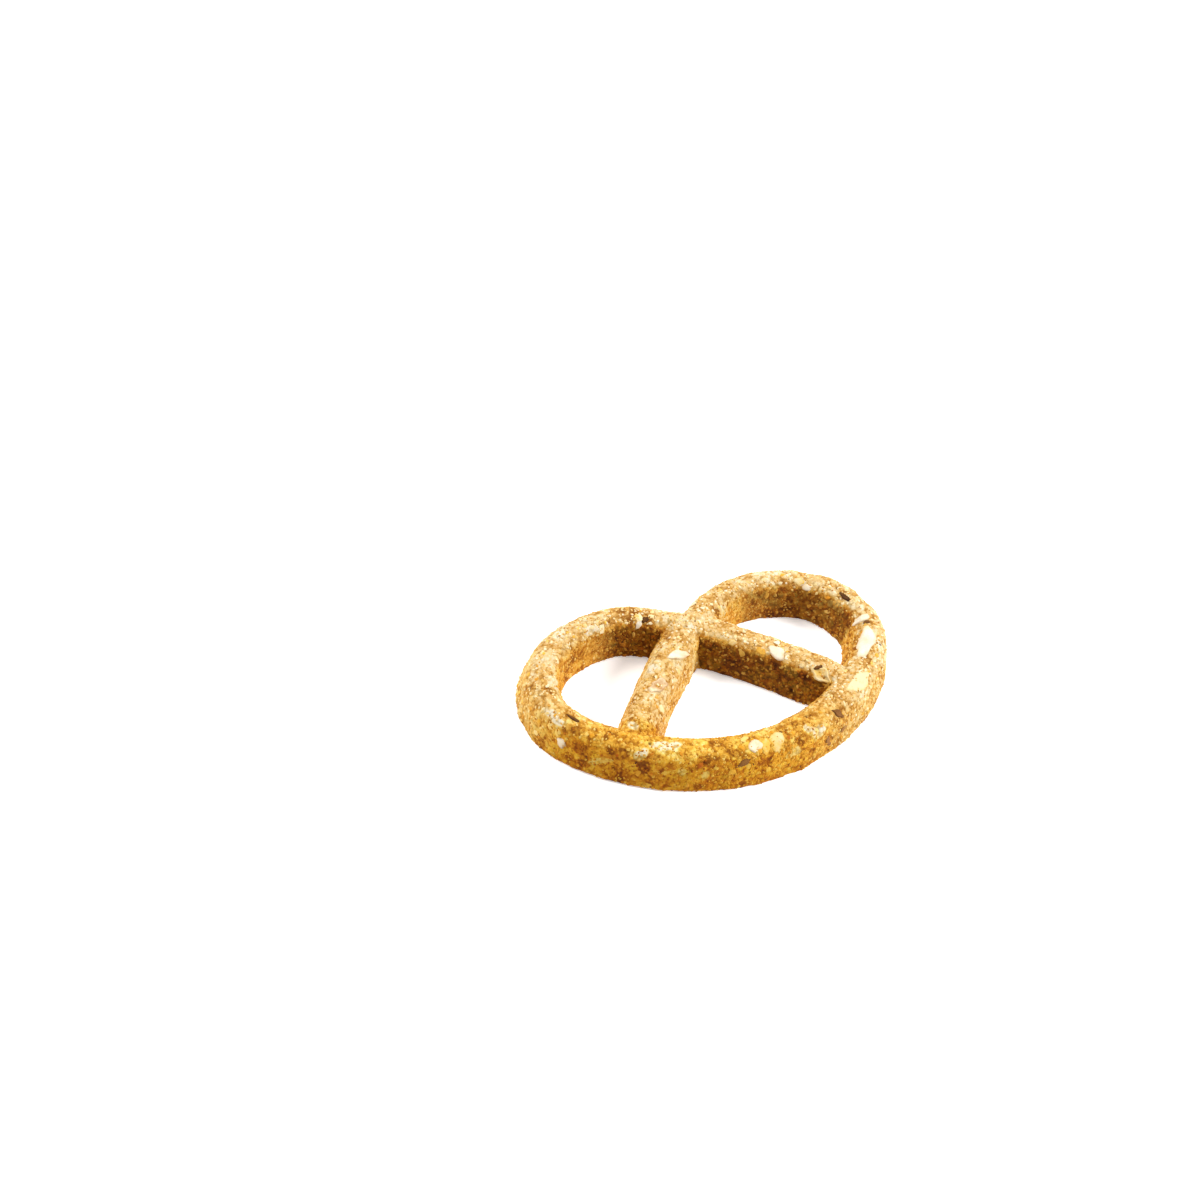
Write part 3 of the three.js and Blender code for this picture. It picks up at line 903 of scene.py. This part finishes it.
def palette(*rows):
    """The stops of a ramp, from rows of a place between 0 and 1 and a colour in picture numbers."""
    return [(place, colour(*numbers)) for place, *numbers in rows]


print("cream in linear light", np.round(colour(247, 226, 180), 2))

# %% Sockets in sums
SHINE = 0.15  # the dry crust reflects far less than a smooth one


class Wire:
    """A socket that can stand in a sum, also where a number stands first."""

    def __init__(self, finish, socket):
        self.finish, self.socket = finish, socket

    def sum(self, operation, first, second):
        return self.finish.node("Math", {"operation": operation}, {0: first, 1: second})

    def __add__(self, other):
        return self.sum("ADD", self, other)

    def __sub__(self, other):
        return self.sum("SUBTRACT", self, other)

    def __rsub__(self, other):
        return self.sum("SUBTRACT", other, self)

    def __mul__(self, other):
        return self.sum("MULTIPLY", self, other)

    __radd__, __rmul__ = __add__, __mul__


class Finish:
    """A material with its shader, and the nodes that feed it."""

    def __init__(self, name, roughness):
        self.material = bpy.data.materials.new(name)
        self.material.use_nodes = True
        self.tree = self.material.node_tree
        self.shader = self.tree.nodes["Principled BSDF"]
        self.put("Roughness", roughness)
        self.put("Specular IOR Level", SHINE)
        self.place = self.node("TexCoord", output="Object")

    def node(self, kind, settings=None, inputs=None, output=0):
        """A node with its settings, its inputs by name or number, and one of its outputs as a wire."""
        node = self.tree.nodes.new("ShaderNode" + kind)
        for name, value in (settings or {}).items():
            if name == "stops":
                set_stops(node.color_ramp, value)
            else:
                setattr(node, name, value)
        for name, value in (inputs or {}).items():
            self.feed(node.inputs[name], value)
        return Wire(self, node.outputs[output])

    def feed(self, socket, value):
        """A wire is linked to the socket, and anything else is its value."""
        if isinstance(value, Wire):
            self.tree.links.new(value.socket, socket)
        else:
            socket.default_value = value

    def put(self, name, value):
        """One input of the shader."""
        self.feed(self.shader.inputs[name], value)

    def own(self, attribute):
        """A value that is kept at the mesh's points."""
        return self.node("Attribute", {"attribute_name": attribute}, output="Fac")

    def noise(self, size, detail=2, rough=0.5):
        """Blender's noise with features about as large as size, in millimetres."""
        inputs = {"Vector": self.place, "Scale": 1 / (size * MM), "Detail": detail, "Roughness": rough}
        return self.node("TexNoise", None, inputs, "Fac")

    def ramp(self, factor, stops):
        """The colour at a place in a palette."""
        return self.node("ValToRGB", {"stops": stops}, {"Fac": factor}, "Color")

    def steep(self, value, low, high, start=0, end=1):
        """A value's climb from start to end while it goes from low to high."""
        return self.node("MapRange", {"clamp": True}, {0: value, 1: low, 2: high, 3: start, 4: end})

    def blend(self, factor, first, second, kind="MIX"):
        """The first colour where the factor is 0 and the second where it is 1."""
        settings = {"data_type": "RGBA", "blend_type": kind}
        return self.node("Mix", settings, {0: factor, 6: first, 7: second}, 2)

    def multiply(self, shade, tint):
        """A colour times a tint."""
        return self.blend(1.0, shade, tint, "MULTIPLY")

    def roughen(self, noise, height):
        """Unevenness too fine for geometry, by a noise and its height in millimetres."""
        bump = self.node("Bump", None, {"Height": self.noise(*noise), "Distance": height * MM})
        self.put("Normal", bump)


def set_stops(ramp, stops):
    """A ramp's places and colours, in place of the two that it starts with."""
    while len(ramp.elements) > 1:
        ramp.elements.remove(ramp.elements[-1])
    for number, (place, shade) in enumerate(stops):
        stop = ramp.elements[0] if number == 0 else ramp.elements.new(place)
        stop.position, stop.color = place, shade


white_top = Finish("white_table", 0.6)
print("the table's finish starts with", len(white_top.tree.nodes), "nodes")

# %% [markdown]
# ## Baked colours and painted shade
#
# All of the biscuit was baked in the same oven, so one function colours every kind of grain. A palette
# gives the kind's own colours, one place in it for each grain. Fine noise varies them inside a grain. Then
# the oven's part: walls are browner than tops. Walls inside the holes that face the front left are darkest,
# with painted shade, and cracks between the grains of the crumb are darker still, with painted shade too.

# %% What toasting and painted shade do to a colour
UNTINTED = (1, 1, 1, 1)

# what is left of each colour, from a top over the shoulder to a wall; the inner one is painted shade
GOLDEN_WALL = [(0, UNTINTED), (0.4, (0.98, 0.84, 0.44, 1)), (1, (0.90, 0.71, 0.23, 1))]
CREAM_WALL = [(0, UNTINTED), (0.5, (1.00, 0.95, 0.74, 1)), (1, (1.00, 0.89, 0.58, 1))]
# painted shade: the deep brown of the inside walls that face the front left, away from the lamps
INNER_WALL = [
    (0, UNTINTED),
    (0.30, (0.97, 0.78, 0.36, 1)),
    (0.75, (0.50, 0.32, 0.07, 1)),
    (1, (0.36, 0.22, 0.025, 1)),
]
PATCHY = (1.8, 4, 0.6)  # size in millimetres, detail and roughness of a noise
PATCHY_WEIGHT = 0.8  # how far it moves the edge of the browning and of the painted shade
WALL_BROWNING_AND_SHADE = (0.10, 0.95)  # the values of wall at which the browning and the painted shade set in and are full


def toasted_and_shaded(finish, own_colour, share):
    """Multiplies a colour by the tint of its wall, by the share to which the kind of grain browns. On the
    inside walls that face the front left the tint is painted shade.
    """
    uneven_wall = finish.own("wall") + (finish.noise(*PATCHY) - 0.5) * PATCHY_WEIGHT
    reach = finish.steep(uneven_wall, *WALL_BROWNING_AND_SHADE) * share
    golden, cream, inner = (finish.ramp(reach, stops) for stops in (GOLDEN_WALL, CREAM_WALL, INNER_WALL))
    outer = finish.blend(finish.own("pale"), golden, cream)
    return finish.multiply(own_colour, finish.blend(finish.own("inner"), outer, inner))


print("walls inside the holes keep", INNER_WALL[-1][1][:3], "of their colour")

# %% The crumb's finish
GOLDEN_CRUST = palette(
    (0.00, 146, 88, 16),
    (0.25, 206, 140, 34),
    (0.50, 240, 184, 68),
    (0.75, 251, 214, 100),
    (1.00, 255, 236, 160),
)
CREAM_CRUST = palette(
    (0.00, 166, 110, 42),
    (0.25, 216, 165, 86),
    (0.50, 233, 197, 135),
    (0.75, 239, 216, 169),
    (1.00, 245, 232, 204),
)
# painted shade in the cracks between the grains
CRACK_SHADE_TINT = (0.64, 0.50, 0.27, 1)
# the foot's tint: partly browner baking, partly painted shade by the table
FOOT_BROWNING_AND_SHADE_TINT = (0.90, 0.80, 0.55, 1)
FOOT_SHARE = 0.8
# painted shade in the pits
PIT_SHADE_COLOUR = colour(104, 66, 28)

# size in millimetres, detail and roughness of each noise
MOTTLE, CLOUDS, WIDE_CLOUDS = (0.35, 4, 0.65), (1.6, 2), (3.6, 1)
CLUMPS, FINE_CRUMB = (0.6, 3, 0.6), (0.30, 5, 0.7)
FINE_CRUMB_HEIGHT = 0.2

# how far each value and each noise moves the place in the palettes
VALUE_WEIGHTS = {"grain": 0.4, "lump": 0.35, "patch": 0.5, "amber": -0.3}
MOTTLE_WEIGHT, CLOUDS_WEIGHT, WIDE_CLOUDS_WEIGHT = 0.7, 1.0, 0.8
PALETTE_SHIFT = 0.08
PATCH_TO_CREAM = 0.8  # a pale patch turns the gold to cream by this much
CRACK_MOTTLE = 0.3  # how far the mottle moves the edge of the painted shade in the cracks
CRACK_TO_GRAIN = (0.20, 0.50)  # heights in the cobble between which the painted shade in the cracks ends
CLUMP_EDGE = (0.36, 0.64)  # the noise's values between a dark and a light clump
CLUMP_LIGHT = (-0.55, 0.35)  # how much darker and lighter the walls with painted shade get by them


def crumb_finish():
    """The dough between the grains: one colour for each cobble of the skin, with painted shade in the
    cracks.
    """
    finish = Finish("toasted_crumb", 0.85)
    mottle = finish.noise(*MOTTLE) - 0.5
    draw = sum(finish.own(value_name) * weight for value_name, weight in VALUE_WEIGHTS.items())
    draw = draw + mottle * MOTTLE_WEIGHT + (finish.noise(*CLOUDS) - 0.5) * CLOUDS_WEIGHT
    draw = draw + (finish.noise(*WIDE_CLOUDS) - 0.5) * WIDE_CLOUDS_WEIGHT + PALETTE_SHIFT
    paleness = finish.steep(finish.own("pale") + finish.own("patch") * PATCH_TO_CREAM, 0, 1)
    shades = finish.blend(paleness, finish.ramp(draw, GOLDEN_CRUST), finish.ramp(draw, CREAM_CRUST))
    # painted shade in the cracks between the grains
    crack_shade = finish.steep(finish.own("cobble") + mottle * CRACK_MOTTLE, *CRACK_TO_GRAIN)
    shades = finish.blend(crack_shade, finish.multiply(shades, CRACK_SHADE_TINT), shades)
    # the foot: partly browner baking, partly painted shade
    shades = finish.blend(finish.own("low") * FOOT_SHARE, shades, finish.multiply(shades, FOOT_BROWNING_AND_SHADE_TINT))
    # painted shade in the pits
    shades = finish.blend(finish.own("pit"), shades, PIT_SHADE_COLOUR)
    clumps = finish.steep(finish.noise(*CLUMPS), *CLUMP_EDGE, *CLUMP_LIGHT)
    clumps = finish.own("inner") * finish.own("wall") * clumps + 1
    shades = finish.node("VectorMath", {"operation": "SCALE"}, {0: shades, 3: clumps})
    finish.put("Base Color", toasted_and_shaded(finish, shades, 1.0))
    finish.roughen(FINE_CRUMB, FINE_CRUMB_HEIGHT)
    return finish.material


crumb_material = crumb_finish()
print(len(crumb_material.node_tree.nodes), "nodes in the crumb's finish")

# %% The grains' finishes
GOLDEN_TINT = (0.88, 0.70, 0.27, 1)  # what is left of a grain's colour where the crust is golden
AMBER_TINT = (0.72, 0.50, 0.20, 1)  # and in an amber patch
MEAL_MOTTLE, MEAL_CLOUDS, MEAL_GRIT = (0.25, 3, 0.6), (1.3, 2), (0.15, 3, 0.6)
MEAL_MOTTLE_WEIGHT, MEAL_CLOUDS_WEIGHT = 0.4, 0.6
MEAL_GRIT_HEIGHT = 0.05

CREAM_PALETTE = palette((0, 238, 198, 116), (0.5, 247, 224, 166), (1, 252, 240, 210))
FINE_PALETTE = palette((0, 186, 124, 46), (0.35, 228, 174, 84), (0.7, 246, 211, 136), (1, 253, 234, 190))
MAIZE_PALETTE = palette((0, 220, 152, 48), (0.5, 242, 192, 78), (1, 238, 219, 172))
BRAN_PALETTE = palette((0, 72, 42, 16), (0.5, 128, 82, 34), (1, 176, 122, 60))
BUFF_PALETTE = palette((0, 246, 208, 128), (0.5, 252, 230, 176), (1, 255, 244, 214))
OAT_PALETTE = palette((0, 196, 146, 88), (0.4, 244, 220, 180), (0.7, 252, 242, 220), (1, 255, 251, 242))


def meal_finish(name, stops, share, roughness):
    """Loose grains: a palette over the grains' own draws, slightly mottled."""
    finish = Finish(name, roughness)
    mottle = (finish.noise(*MEAL_MOTTLE) - 0.5) * MEAL_MOTTLE_WEIGHT
    clouds = (finish.noise(*MEAL_CLOUDS) - 0.5) * MEAL_CLOUDS_WEIGHT
    shades = finish.ramp(finish.own("grain") + mottle + clouds, stops)
    shades = finish.blend(finish.own("pale"), finish.multiply(shades, GOLDEN_TINT), shades)
    shades = finish.blend(finish.own("amber"), shades, finish.multiply(shades, AMBER_TINT))
    finish.put("Base Color", toasted_and_shaded(finish, shades, share))
    finish.roughen(MEAL_GRIT, MEAL_GRIT_HEIGHT)
    return finish.material


# each finish by its name, its palette, the share to which it browns and takes painted shade, and its
# roughness; then its pieces
finished_pieces = [
    (crumb_material, [biscuit]),
    (meal_finish("cream_oatmeal", CREAM_PALETTE, 0.64, 0.8), [cream_meal]),
    (meal_finish("fine_meal_mix", FINE_PALETTE, 0.8, 0.8), [fine_meal]),
    (meal_finish("amber_maize", MAIZE_PALETTE, 0.7, 0.6), [maize_grits, maize]),
    (meal_finish("dark_bran", BRAN_PALETTE, 0.4, 0.7), [bran_bits, slivers]),
    (meal_finish("pale_rolled_oat", OAT_PALETTE, 0.35, 0.75), [oats]),
    (meal_finish("buff_oat", BUFF_PALETTE, 0.5, 0.75), [oat_bits]),
]
for material, pieces in finished_pieces:
    for piece in pieces:
        piece.data.materials.append(material)
    print(material.name, "on", [piece.name for piece in pieces])

# %% [markdown]
# ## The table, and the biscuit's place in the frame
#
# Pictures on white are often taken on a table that is lit from below. So the table glows a little near the
# biscuit, where a soft shadow still shows, and more further off, until it is as white as the sky and no
# horizon is seen. It belongs to the picture and not to the biscuit. Everything else is the biscuit: it
# rides on the one body, and its skin takes the plain solid's place, which is hidden.

# %% The table
TABLE_HALF = 12000  # half the table's side, in millimetres
TABLE_GLOW = (0.3, 0.75)  # near the biscuit and far away
GLOW_GROWS = (0.25, 1.2)  # between these distances from the biscuit, in metres
TABLE_COLOUR = (0.93, 0.93, 0.93, 1)

table_corners = [(x * TABLE_HALF, y * TABLE_HALF, 0) for x, y in ((-1, -1), (1, -1), (1, 1), (-1, 1))]
table = add_object("table", table_corners, [(0, 1, 2, 3)])
far = white_top.node("VectorMath", {"operation": "LENGTH"}, {0: white_top.place}, "Value")
white_top.put("Emission Color", white_top.steep(far, *GLOW_GROWS, *TABLE_GLOW))
white_top.put("Emission Strength", 1)
white_top.put("Base Color", TABLE_COLOUR)
table.data.materials.append(white_top.material)
print("the table is", 2 * TABLE_HALF * MM, "m wide")

# %% The biscuit's place in the frame
for piece in (biscuit, oats, slivers, maize, cream_meal, fine_meal, maize_grits, bran_bits, oat_bits):
    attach(piece, "root")
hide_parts("biscuit")
